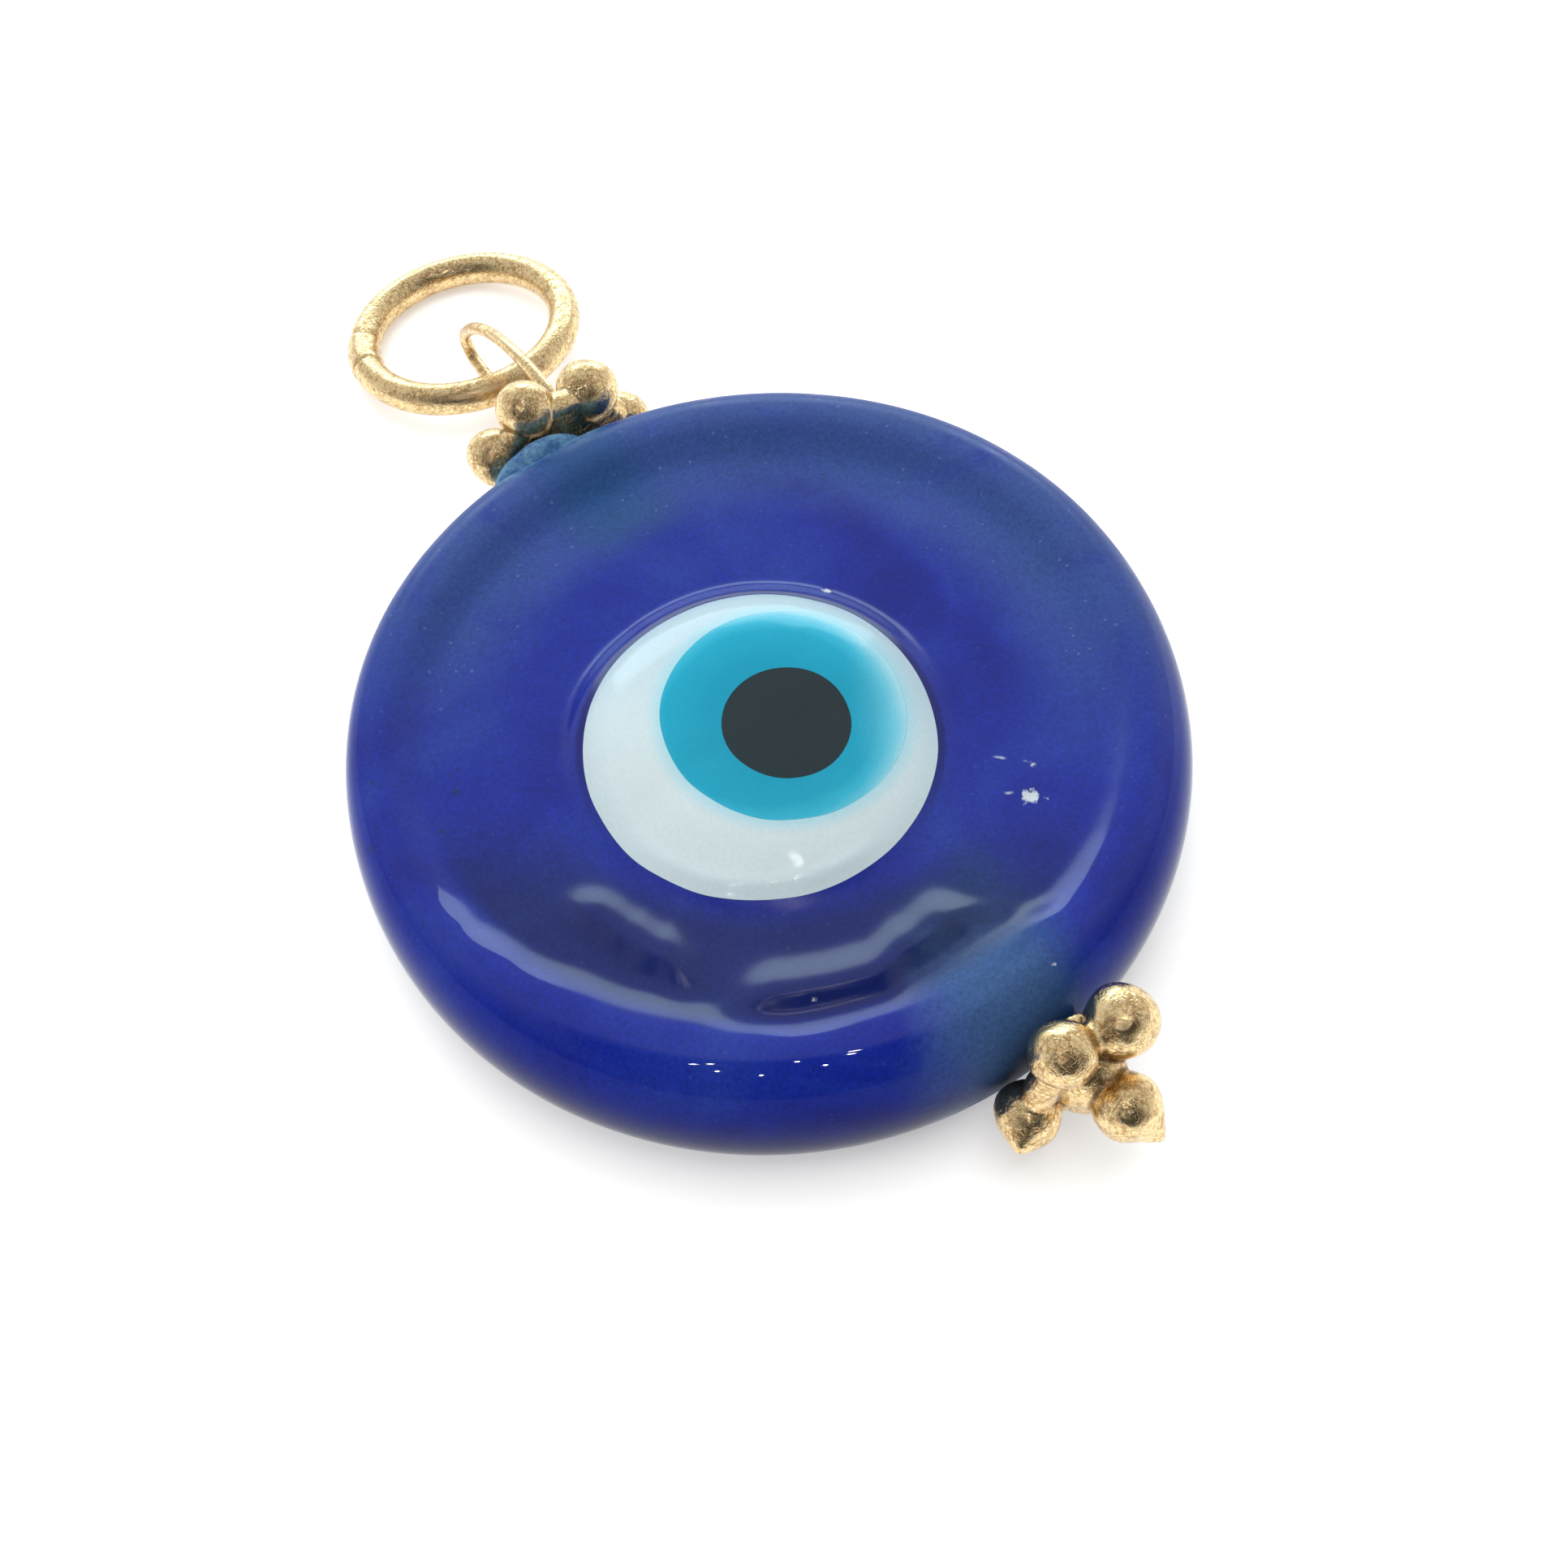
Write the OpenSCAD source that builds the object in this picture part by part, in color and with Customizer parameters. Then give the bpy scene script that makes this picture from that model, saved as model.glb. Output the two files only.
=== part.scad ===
// Evil eye pendant lying on its back: a drilled glass disc with a fused eye,
// a granulated cap, a head pin with granules and a wire eye, and a jump ring.
// The pin runs along Y, the jump ring is at the +Y end, and the back rests on z = 0.

/* [Glass disc] */
// Diameter of the glass disc
disc_d = 25.5; // [24:0.5:30]
// Thickness of the disc at the raised ring near its edge
disc_t = 5.4; // [5.1:0.1:6.4]
// How far the rounding of the edge reaches in from the rim
edge_round = 1.6; // [0.8:0.1:2.4]
// How far the dome of the eye stands above the raised ring
dome_rise = 0.8; // [0.4:0.1:1.4]
// How far the moat round the eye lies below the raised ring
moat_depth = 0.5; // [0.2:0.05:0.7]
// Radius at which the moat is deepest
moat_r = 8.2; // [7.6:0.1:9]

/* [Bore and collars] */
// Diameter of the bore across the disc
bore_d = 0.9; // [0.7:0.05:1.2]
// Height of the bore above the back
bore_z = 3.5; // [3.4:0.05:3.7]
// How far the bore runs to one side of the disc's middle
bore_x = 0.9; // [0:0.1:1.4]
// Diameter of the glass collar under the cap
collar_d = 3.8; // [3.4:0.1:4.2]
// How far the collar sits to the side of the bore
collar_side = 1.4; // [0.6:0.05:1.6]
// How far the middle of the collar lies above the bore
collar_rise = 0.2; // [0.05:0.05:0.3]
// Rounding of the collar and the ridge at their outer ends
collar_round = 0.5; // [0.2:0.05:0.8]
// Length of the collar at the cap
collar_l = 1.6; // [1:0.1:3]
// Diameter of the glass ridge over the bore, at the head
ridge_d = 3.4; // [3:0.1:3.8]
// Length of the glass ridge
ridge_l = 5; // [4.6:0.1:5.4]

/* [Eye] */
// Diameter of the white drop
white_d = 10.3; // [9.4:0.1:11]
// Diameter of the turquoise drop
iris_d = 7.1; // [5.8:0.1:7.8]
// Diameter of the dark drop
pupil_d = 3.7; // [2.6:0.1:4.6]
// Depth of the white drop below the raised ring
white_depth = 0.9; // [0.75:0.05:1]
// Depth of the turquoise drop below the raised ring
iris_depth = 0.5; // [0.35:0.05:0.7]
// Depth of the dark drop below the raised ring
pupil_depth = 0.1; // [0:0.05:0.3]

/* [Granules] */
// Diameter of one granule
granule_d = 1.94; // [1.7:0.02:2.1]
// Radius of the ring of granules on the cap
cap_ring_r = 2.42; // [2.3:0.02:2.5]
// Radius of the ring of granules on the head
head_ring_r = 1.8; // [1.6:0.02:2]
// Distance of the end granule beyond the ring of the head
end_reach = 1.66; // [1.4:0.02:1.9]
// Thickness of the plates that carry the granules
plate_t = 0.5; // [0.3:0.05:0.8]

/* [Wire eye] */
// Diameter of the pin's wire
wire_d = 0.44; // [0.36:0.02:0.5]
// Length of the wire eye, between the middles of the wire
eye_l = 8; // [7.6:0.1:8.4]
// Width of the wire eye, between the middles of the wire
eye_w = 3.1; // [2.9:0.05:3.3]
// Radius of its narrow ends, at the middle of the wire
eye_end_r = 0.7; // [0.5:0.05:0.9]
// Angle by which it droops towards the back
eye_droop = 23; // [21:0.5:24]
// How far its foot stands above the bore
foot_rise = 0.65; // [0.55:0.05:0.9]
// How far its foot stands to the side of the bore
foot_side = 0.45; // [0.2:0.05:0.7]
// How far its foot stands beyond the cap's plate
foot_reach = 1.3; // [1:0.05:1.8]

/* [Jump ring] */
// Outer diameter of the jump ring
ring_d = 8.7; // [8:0.1:10]
// Diameter of the jump ring's wire
ring_wire_d = 1.14; // [0.9:0.02:1.3]
// How far beyond the middle of the wire eye the ring crosses it
ring_cross = 0.95; // [0.5:0.05:1.4]
// How far the ring's middle lies to the side of the wire eye
ring_side = 0.24; // [-0.6:0.02:0.6]
// Place of the soldered seam round the ring
seam_angle = 158; // [100:1:240]
// Part of the ring that the seam takes
seam_span = 20; // [10:1:30]

/* [Hidden] */
$fn = 64;

// Clearance between pieces that are fused, seated or threaded
gap = 0.03;

// Levels and radii of the disc
disc_r = disc_d / 2;
crown_r = disc_r - edge_round;
half_t = disc_t / 2;
moat_z = disc_t - moat_depth;
dome_z = disc_t + dome_rise;
above = dome_z + 1;
collar_r = collar_d / 2;
ridge_r = ridge_d / 2;

// Floors and middles of the drops
white_z = disc_t - white_depth;
iris_z = disc_t - iris_depth;
pupil_z = disc_t - pupil_depth;
white_at = [-0.9, -1.1];
iris_at = [0, -1.05];
pupil_at = [-0.2, -1.5];

// Seats of the metal on the glass
seat_y = disc_r + gap;
granule_r = granule_d / 2;
cap_plate_r = cap_ring_r - granule_r / 2;
core_r = 0.62 * head_ring_r;
pin_top = [bore_x, seat_y + plate_t + wire_d, bore_z];

// Four tangent arcs make the wire eye: two narrow ends and two long sides
wire_r = wire_d / 2;
end_c = eye_l / 2 - eye_end_r;
half_w = eye_w / 2;
side_r = (end_c * end_c + half_w * half_w - eye_end_r * eye_end_r) / (2 * (half_w - eye_end_r));
side_h = side_r - half_w;
end_a = atan2(side_h, end_c);
side_plug = 0.4;
foot = [bore_x + foot_side, seat_y + plate_t + foot_reach, bore_z + foot_rise];
eye_mid = foot + eye_l / 2 * [0, cos(eye_droop), -sin(eye_droop)];

// The jump ring lies on the lower side of the wire eye and on the table
ring_wire_r = ring_wire_d / 2;
ring_r = ring_d / 2 - ring_wire_r;
cross_v = side_h - sqrt(side_r * side_r - ring_cross * ring_cross) + wire_r + ring_wire_r + gap;
near_y = eye_mid[1] + ring_cross * cos(eye_droop) + cross_v * sin(eye_droop);
near_z = eye_mid[2] - ring_cross * sin(eye_droop) + cross_v * cos(eye_droop);
ring_tilt = asin((near_z - ring_wire_r) / (2 * ring_r));
ring_at = [foot[0] + ring_side, near_y + ring_r * cos(ring_tilt), near_z - ring_r * sin(ring_tilt)];

// Granules round the bore: angle, reach in ring radii, size in granules
ANGLE = 0;
REACH = 1;
SIZE = 2;
cap_granules = [
    [161, 1.03, 0.98],
    [114, 1.00, 0.98],
    [50, 0.85, 1.06],
    [-12, 1.00, 1.03],
    [-75, 0.98, 1.00],
    [-137, 0.98, 1.00]
];
head_granules = [
    [116, 1.01, 0.97],
    [50, 0.98, 1.06],
    [-80, 0.73, 1.02],
    [-145, 1.15, 0.99]
];

// Smooth step from 0 to 1
function blend(t) = (1 - cos(180 * t)) / 2;

// Height of the disc's face at a distance from its middle
function face_z(r) = r > moat_r
    ? moat_z + moat_depth * blend((r - moat_r) / (crown_r - moat_r))
    : moat_z + (dome_z - moat_z) * blend((moat_r - r) / moat_r);

// Half section of the disc: flat back, rounded edge, raised ring, moat and dome
function disc_section(edge_steps = 10, face_steps = 22) = concat(
    [[0, 0], [crown_r, 0]],
    [for (i = [1 : edge_steps]) let (a = 180 * i / edge_steps - 90)
        [crown_r + edge_round * cos(a), half_t + half_t * sin(a)]],
    [for (i = [1 : face_steps]) let (r = crown_r * (1 - i / face_steps)) [r, face_z(r)]]
);

// Half section of a round bar: one end round or flat, the other with a rounded rim
function bar_section(r, l, round_end, steps = 6) = concat(
    round_end ? [for (i = [0 : steps]) let (a = 90 * i / steps) [r * sin(a), r - r * cos(a)]]
        : [[0, 0], [r, 0]],
    [for (i = [0 : steps]) let (a = 90 * i / steps)
        [r - collar_round + collar_round * cos(a), l - collar_round + collar_round * sin(a)]],
    [[0, l]]
);

// Half section of a drop: a ball drawn out to a small blunt tip
function drop_section(r, tip_r, reach, steps = 9) =
    let (lean = asin((r - tip_r) / (reach - tip_r)))
    concat(
        [for (i = [0 : steps]) let (a = (90 + lean) * i / steps - 90) [r * cos(a), r * sin(a)]],
        [for (i = [0 : 3]) let (a = lean + (90 - lean) * i / 3)
            [tip_r * cos(a), reach - tip_r + tip_r * sin(a)]]
    );

// Place of a granule on its seat, with the seat at y = 0 and the bore at the middle
function granule_at(g, ring_radius) = [
    ring_radius * g[REACH] * cos(g[ANGLE]),
    granule_r * g[SIZE],
    ring_radius * g[REACH] * sin(g[ANGLE])
];

// Stands things on the bore's axis with their Z along +Y
module on_bore(y) {
    translate([bore_x, y, bore_z]) rotate([-90, 0, 0]) children();
}

// Round bar from point a to point b
module rod(a, b, d) {
    way = b - a;
    translate(a)
        rotate([0, acos(way[2] / norm(way)), atan2(way[1], way[0])])
            cylinder(h = norm(way), d = d);
}

module disc_form() {
    rotate_extrude() polygon(disc_section());
}

// Well in the disc's face, open upwards
module well(at, d, floor_z) {
    translate([at[0], at[1], floor_z]) cylinder(h = above - floor_z, d = d);
}

// Balls on a ring round the bore
module granules(places, ring_radius) {
    for (g = places) {
        translate(granule_at(g, ring_radius)) sphere(r = granule_r * g[SIZE]);
    }
}

// Ball drawn out to a tip that points along the given way
module drop(r, tip_r, reach, way) {
    rotate([0, acos(way[2] / norm(way)), atan2(way[1], way[0])])
        rotate_extrude() polygon(drop_section(r, tip_r, reach));
}

// Part of a ring of wire in the XY plane
module wire_arc(r, from, sweep, d) {
    rotate([0, 0, from]) rotate_extrude(angle = sweep) translate([r, 0]) circle(d = d);
}

module glass_body() color([0.12, 0.14, 0.55]) {
    difference() {
        union() {
            disc_form();
            translate([-collar_side, 0, collar_rise]) on_bore(disc_r - collar_l)
                rotate_extrude() polygon(bar_section(collar_r, collar_l, false));
            on_bore(ridge_l - disc_r) rotate([180, 0, 0])
                rotate_extrude() polygon(bar_section(ridge_r, ridge_l, true));
        }
        on_bore(-disc_r - 1) cylinder(h = disc_d + 2, d = bore_d);
        well(white_at, white_d + 2 * gap, white_z - gap);
    }
}

module eye_white() color([0.88, 0.93, 0.94]) {
    difference() {
        intersection() {
            disc_form();
            well(white_at, white_d, white_z);
        }
        well(iris_at, iris_d + 2 * gap, iris_z - gap);
    }
}

module eye_iris() color([0.18, 0.7, 0.82]) {
    difference() {
        intersection() {
            disc_form();
            well(iris_at, iris_d, iris_z);
        }
        well(pupil_at, pupil_d + 2 * gap, pupil_z - gap);
    }
}

module eye_pupil() color([0.2, 0.25, 0.27]) {
    intersection() {
        disc_form();
        well(pupil_at, pupil_d, pupil_z);
    }
}

// Six granules on a plate that slips over the pin
module top_cap() color([0.86, 0.72, 0.47]) {
    difference() {
        union() {
            on_bore(seat_y) cylinder(h = plate_t, r = cap_plate_r);
            translate([bore_x, seat_y, bore_z]) granules(cap_granules, cap_ring_r);
        }
        on_bore(seat_y - plate_t) cylinder(h = granule_d + 2 * plate_t, d = wire_d + 2 * gap);
    }
}

// Wire oval in an upright plane; its sides are drawn a little thinner than its ends and run into them
module wire_eye() {
    translate(eye_mid) rotate([-eye_droop, 0, 0]) rotate([90, 0, 90])
        for (turn = [0, 180]) rotate([0, 0, turn]) {
            translate([end_c, 0, 0]) wire_arc(eye_end_r, -end_a, 2 * end_a, wire_d);
            translate([0, -side_h, 0])
                wire_arc(side_r, end_a - side_plug, 180 - 2 * (end_a - side_plug), 0.96 * wire_d);
        }
}

// Granules of the head, seated on the glass at the far end of the bore
module head() {
    translate([bore_x, -seat_y, bore_z]) mirror([0, 1, 0]) {
        rotate([-90, 0, 0]) cylinder(h = plate_t, r = 1.25 * core_r);
        translate([0, core_r, 0]) sphere(r = core_r);
        granules(head_granules, head_ring_r);
        translate([0.2 * granule_r, granule_r + end_reach, 0])
            drop(granule_r, 0.2 * granule_r, 1.38 * granule_r, [0.37, 1.15, -0.56]);
        translate(granule_at(head_granules[3], head_ring_r))
            drop(0.98 * granule_r, 0.3 * granule_r, 1.24 * granule_r, [-0.87, 0.78, 0.03]);
    }
}

module head_pin() color([0.86, 0.72, 0.47]) {
    on_bore(-seat_y - plate_t / 2) cylinder(h = pin_top[1] + seat_y + plate_t / 2, d = wire_d);
    translate(pin_top) sphere(d = 1.1 * wire_d);
    rod(pin_top, foot, wire_d);
    translate(foot) sphere(d = 1.3 * wire_d);
    wire_eye();
    head();
}

module jump_ring() color([0.86, 0.72, 0.47]) {
    translate(ring_at) rotate([-ring_tilt, 0, 0]) {
        rotate_extrude() translate([ring_r, 0]) circle(d = ring_wire_d);
        rotate([0, 0, seam_angle - seam_span / 2])
            rotate_extrude(angle = seam_span) translate([ring_r, 0]) circle(d = 1.06 * ring_wire_d);
    }
}

glass_body();
eye_white();
eye_iris();
eye_pupil();
top_cap();
head_pin();
jump_ring();
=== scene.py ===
import math
import bpy
import bmesh
from mathutils import Matrix, Vector, noise


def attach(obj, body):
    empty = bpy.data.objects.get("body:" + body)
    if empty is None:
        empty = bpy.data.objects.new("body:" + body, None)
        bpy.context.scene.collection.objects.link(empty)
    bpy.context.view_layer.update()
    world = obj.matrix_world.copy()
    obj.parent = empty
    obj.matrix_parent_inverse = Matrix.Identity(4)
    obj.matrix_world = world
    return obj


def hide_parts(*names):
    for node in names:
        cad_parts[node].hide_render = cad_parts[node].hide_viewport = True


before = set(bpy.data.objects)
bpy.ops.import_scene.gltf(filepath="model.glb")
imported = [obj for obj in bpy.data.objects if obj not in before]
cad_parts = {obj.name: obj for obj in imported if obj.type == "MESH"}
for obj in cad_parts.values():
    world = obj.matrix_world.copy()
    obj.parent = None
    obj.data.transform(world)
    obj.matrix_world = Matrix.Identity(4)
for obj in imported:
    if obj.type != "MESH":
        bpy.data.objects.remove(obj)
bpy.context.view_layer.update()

scene = bpy.context.scene
mm = 0.001
print("frame loaded:", sorted(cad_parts))

# sizes shared by several pieces, in mm and degrees
disc = {
    "radius": 12.75,
    "thickness": 5.4,
    "edgeRound": 1.6,
    "moatDepth": 0.5,
    "domeRise": 0.8,
    "faceTop": 6.19,  # the face rises no higher
    "fullWay": 80,  # way in which the face and the rim are fuller, away from the viewer
    "fullFrom": -0.35,  # cosine of the angle to that way at which they start to be fuller
    "fullReach": 1.1,
    "fullEdge": 0.8,  # how much squarer the rim is there
}
bore = {"x": 0.9, "z": 3.5, "seat": 12.78}
eye = {
    "whiteAt": (-0.9, -1.1), "whiteRadius": 5.15, "whiteFloor": 4.5,
    "irisAt": (0.0, -1.05), "irisRadius": 3.55, "irisFloor": 4.9,
    "pupilAt": (-0.2, -1.5), "pupilRadius": 1.85, "pupilFloor": 5.3,
    "sideGap": 0.002, "floorGap": 0.03,
}
glassIndex = 1.52


# small helpers

def hexColour(code):  # sRGB hex to linear
    parts = [int(code[i:i + 2], 16) / 255 for i in (1, 3, 5)]
    return [p / 12.92 if p <= 0.04045 else ((p + 0.055) / 1.055) ** 2.4 for p in parts] + [1.0]


def addNode(tree, kind, settings=None, links=None):
    node = tree.nodes.new(kind)
    for key, value in (settings or {}).items():
        if isinstance(key, int) or key in node.inputs:
            node.inputs[key].default_value = value
        else:
            setattr(node, key, value)
    for key, source in (links or {}).items():
        tree.links.new(source, node.inputs[key])
    return node


def addRamp(tree, source, stops):
    node = addNode(tree, "ShaderNodeValToRGB", {}, {"Fac": source})
    while len(node.color_ramp.elements) < len(stops):
        node.color_ramp.elements.new(0.5)
    for element, (place, colour) in zip(node.color_ramp.elements, stops):
        element.position = place
        element.color = hexColour(colour) if isinstance(colour, str) else (colour, colour, colour, 1)
    return node


def newMaterial(name):
    material = bpy.data.materials.new(name)
    material.use_nodes = True
    tree = material.node_tree
    shader = tree.nodes["Principled BSDF"]
    place = addNode(tree, "ShaderNodeTexCoord").outputs["Object"]
    return material, tree, shader, place


def addMath(tree, operation, *values):
    node = addNode(tree, "ShaderNodeMath", {"operation": operation})
    for i, value in enumerate(values):
        if isinstance(value, (int, float)):
            node.inputs[i].default_value = value
        else:
            tree.links.new(value, node.inputs[i])
    return node.outputs["Value"]


def addProduct(tree, first, *others):
    for other in others:
        first = addMath(tree, "MULTIPLY", first, other)
    return first


def addFade(tree, value, low, high):  # 0 at low and 1 at high, eased
    node = addNode(tree, "ShaderNodeMapRange",
                   {"interpolation_type": "SMOOTHSTEP", "From Min": low, "From Max": high},
                   {"Value": value})
    return node.outputs["Result"]


def addNoise(tree, place, size, detail=3.0, roughness=0.5, distortion=0.0):  # size in mm
    node = addNode(tree, "ShaderNodeTexNoise",
                   {"Scale": 1 / (size * mm), "Detail": detail, "Roughness": roughness,
                    "Distortion": distortion}, {"Vector": place})
    return node.outputs["Fac"]


def mixColour(tree, share, base, over, strength=1.0):
    node = addNode(tree, "ShaderNodeMix", {"data_type": "RGBA"})
    if strength < 1:
        share = addMath(tree, "MULTIPLY", share, strength)
    tree.links.new(share, node.inputs[0])
    for index, colour in ((6, base), (7, over)):
        if isinstance(colour, str):
            node.inputs[index].default_value = hexColour(colour)
        else:
            tree.links.new(colour, node.inputs[index])
    return node.outputs[2]


def moveBack(tree, place, start):  # place as seen from start, a flat point in mm
    move = addNode(tree, "ShaderNodeVectorMath",
                   {"operation": "SUBTRACT", 1: (start[0] * mm, start[1] * mm, 0)}, {0: place})
    return move.outputs["Vector"]


def flatDistance(tree, place, centre):  # distance from an upright line, in mm
    flat = addNode(tree, "ShaderNodeVectorMath", {"operation": "MULTIPLY", 1: (1 / mm, 1 / mm, 0)},
                   {0: moveBack(tree, place, centre)})
    length = addNode(tree, "ShaderNodeVectorMath", {"operation": "LENGTH"}, {0: flat.outputs["Vector"]})
    return length.outputs["Value"]


def alongWay(tree, place, way, start=(0, 0)):  # how far a place lies along a flat way, in mm
    dot = addNode(tree, "ShaderNodeVectorMath",
                  {"operation": "DOT_PRODUCT", 1: (way[0] / mm, way[1] / mm, 0)},
                  {0: moveBack(tree, place, start)})
    return dot.outputs["Value"]


def addBump(tree, shader, height, strength, distance):  # distance in mm
    node = addNode(tree, "ShaderNodeBump", {"Strength": strength, "Distance": distance * mm},
                   {"Height": height})
    tree.links.new(node.outputs["Normal"], shader.inputs["Normal"])


def blend(t):  # smooth step from 0 to 1
    t = min(max(t, 0.0), 1.0)
    return (1 - math.cos(math.pi * t)) / 2


def softMax(a, b, width):  # the larger of two heights, rounded where they meet
    h = min(max(0.5 + 0.5 * (a - b) / width, 0.0), 1.0)
    return b + (a - b) * h + width * h * (1 - h)


def roughen(bm, size, depth, seed):  # shallow dents, of a size and a depth in mm
    bm.normal_update()
    shift = Vector((seed, 0, 0))
    moves = [(v, v.normal * depth * noise.noise(v.co / size + shift)) for v in bm.verts]
    for v, move in moves:
        v.co += move


def addTone(tree, colour, place, size, low, reach):  # fine grain that lightens and darkens a colour
    fine = addNoise(tree, place, size, 2.0, 0.7)
    tone = addNode(tree, "ShaderNodeHueSaturation", {}, {"Color": colour})
    tree.links.new(addMath(tree, "MULTIPLY_ADD", fine, reach, low), tone.inputs["Value"])
    return tone.outputs["Color"]


def finishPiece(bm, name, material, nodesReplaced, sharpAngle=35):
    bmesh.ops.remove_doubles(bm, verts=bm.verts, dist=0.0005)
    bmesh.ops.recalc_face_normals(bm, faces=bm.faces)
    for face in bm.faces:
        face.smooth = True
    for edge in bm.edges:
        edge.smooth = edge.calc_face_angle(0) < math.radians(sharpAngle)
    bmesh.ops.scale(bm, vec=(mm, mm, mm), verts=bm.verts)
    mesh = bpy.data.meshes.new(name)
    bm.to_mesh(mesh)
    bm.free()
    mesh.materials.append(material)
    piece = bpy.data.objects.new(name, mesh)
    scene.collection.objects.link(piece)
    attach(piece, "root")
    if nodesReplaced:
        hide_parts(*nodesReplaced)
    print("made", name, len(mesh.polygons), "faces")
    return piece


# camera at the photo's viewing angle

cameraSet = {
    "place": (-14.742, -25.777, 49.488),
    "right": (0.8236, -0.5656, -0.0421),
    "up": (0.5028, 0.6936, 0.5158),
    "lens": 41.58,
}
cameraData = bpy.data.cameras.new("camera")
cameraData.lens = cameraSet["lens"]
cameraData.sensor_width = 36
cameraData.clip_start = 0.001
cameraData.clip_end = 10
camera = bpy.data.objects.new("camera", cameraData)
scene.collection.objects.link(camera)
scene.camera = camera
right = Vector(cameraSet["right"]).normalized()
up = Vector(cameraSet["up"])
up = (up - right * up.dot(right)).normalized()
turn = Matrix((right, up, right.cross(up))).transposed().to_4x4()
camera.matrix_world = Matrix.Translation(Vector(cameraSet["place"]) * mm) @ turn
print("camera set")


# marks of wear on the glass face, in mm

chips = [
    # place, radius, depth
    ((4.41, -6.98), 0.24, 0.06),
    ((4.75, -7.35), 0.06, 0.02),
    ((4.1, -7.1), 0.05, 0.02),
    ((5.1, -6.25), 0.07, 0.03),
    ((3.9, 2.4), 0.12, 0.03),
    ((1.51, -11.6), 0.08, 0.02),
    ((-4.3, -8.7), 0.08, 0.02),
]
scratches = [
    # from, to, half width
    ((4.3, -5.3), (4.65, -5.6), 0.03),
    ((3.8, -6.5), (4.1, -6.65), 0.03),
    ((4.95, -5.9), (5.2, -6.3), 0.03),
]
wear = {
    "chipGrain": 0.22, "chipRagged": 0.6, "chipEdge": (0.3, 0.2),
    "scratchWander": 0.2, "scratchBend": 0.7, "scratchEdge": 1.6, "scratchTaper": 0.15,
    "scratchGap": (0.35, 0.55), "scratchGapSize": 0.25, "scratchShare": 0.55,
}


def addChips(tree, place):
    ragged = addMath(tree, "MULTIPLY", addNoise(tree, place, wear["chipGrain"], 4.0, 0.7), wear["chipRagged"])
    outer, inner = wear["chipEdge"]
    mask = None
    for centre, radius, _ in chips:
        away = addMath(tree, "ADD", flatDistance(tree, place, centre), ragged)
        spot = addFade(tree, away, radius + outer, radius + inner)
        mask = spot if mask is None else addMath(tree, "MAXIMUM", mask, spot)
    return mask


def addScratches(tree, place):
    reach, taper = wear["scratchWander"], wear["scratchTaper"]
    bend = addMath(tree, "MULTIPLY_ADD", addNoise(tree, place, wear["scratchBend"]), reach, -reach / 2)
    broken = addFade(tree, addNoise(tree, place, wear["scratchGapSize"]), *wear["scratchGap"])
    mask = None
    for start, end, width in scratches:
        length = math.dist(start, end)
        way = ((end[0] - start[0]) / length, (end[1] - start[1]) / length)
        along = alongWay(tree, place, way, start)
        side = addMath(tree, "ADD", alongWay(tree, place, (-way[1], way[0]), start), bend)
        side = addFade(tree, addMath(tree, "ABSOLUTE", side), width * wear["scratchEdge"], width)
        line = addProduct(tree, side, addFade(tree, along, 0, taper),
                          addFade(tree, along, length, length - taper))
        mask = line if mask is None else addMath(tree, "MAXIMUM", mask, line)
    return addProduct(tree, mask, broken, wear["scratchShare"])


def addSpecks(tree, place, cell, size, share):  # a round speck in a share of the cells, each of its own size
    cells = addNode(tree, "ShaderNodeTexVoronoi", {"Scale": 1 / (cell * mm)}, {"Vector": place})
    pick = addNode(tree, "ShaderNodeSeparateColor", {}, {"Color": cells.outputs["Color"]})
    spread = addMath(tree, "MULTIPLY", pick.outputs["Green"], size / cell)
    inside = addMath(tree, "LESS_THAN", cells.outputs["Distance"], spread)
    return addMath(tree, "MULTIPLY", inside, addMath(tree, "LESS_THAN", pick.outputs["Red"], share))


# cobalt lampwork glass, melted in the flame: glossy, deep blue, with a thin film of wear on the far side
# whose lighter blue is partly a painted reflection of the bright room, a greener streak where the bore runs
# under the face, and painted shade in the near moat and on the lower rim

cobaltLook = {
    "patchSize": 4.5, "cloudSize": 2.2, "stubSize": 0.7, "skinSize": 0.25,
    "patches": [(0.3, "#0e1c78"), (0.5, "#132587"), (0.7, "#1c318c")],
    "stubPatches": [(0.4, "#3b6090"), (0.62, "#6d96b0")], "stubShare": 0.85,
    # tint and share of each zone and mark
    # worn film on the far side; its lighter blue is partly a painted reflection of the bright room
    "film": ("#334e86", 0.8),
    "streak": ("#1a4476", 0.8),
    # painted shade in the moat on the near side
    "hollow": ("#0f1c48", 0.75),
    # painted shade on the lower rim
    "rim": ("#0a1038", 0.85),
    "border": ("#0a1058", 0.8),
    "haze": ("#425f88", 0.65),
    "dust": ("#6b86ae", 0.25),
    "pits": ("#172a3a", 0.8),
    "marks": ("#c6ced2", 0.9),
    "grain": (0.13, 0.55, 0.9),  # size, least tone and how far it rises
    "dustCells": (0.33, 0.06, 0.5), "pitCells": (0.5, 0.16, 0.5),  # cell, size, share
    "cloudRough": 0.05, "faceRough": 0.2, "filmRough": 0.35, "hazeRough": 0.4, "marksRough": 0.5,
    "skinOfWear": 0.8, "pitDepth": 1.5, "bump": (0.1, 0.02), "leastGloss": 0.06, "polishGloss": 0.31,
}
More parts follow.
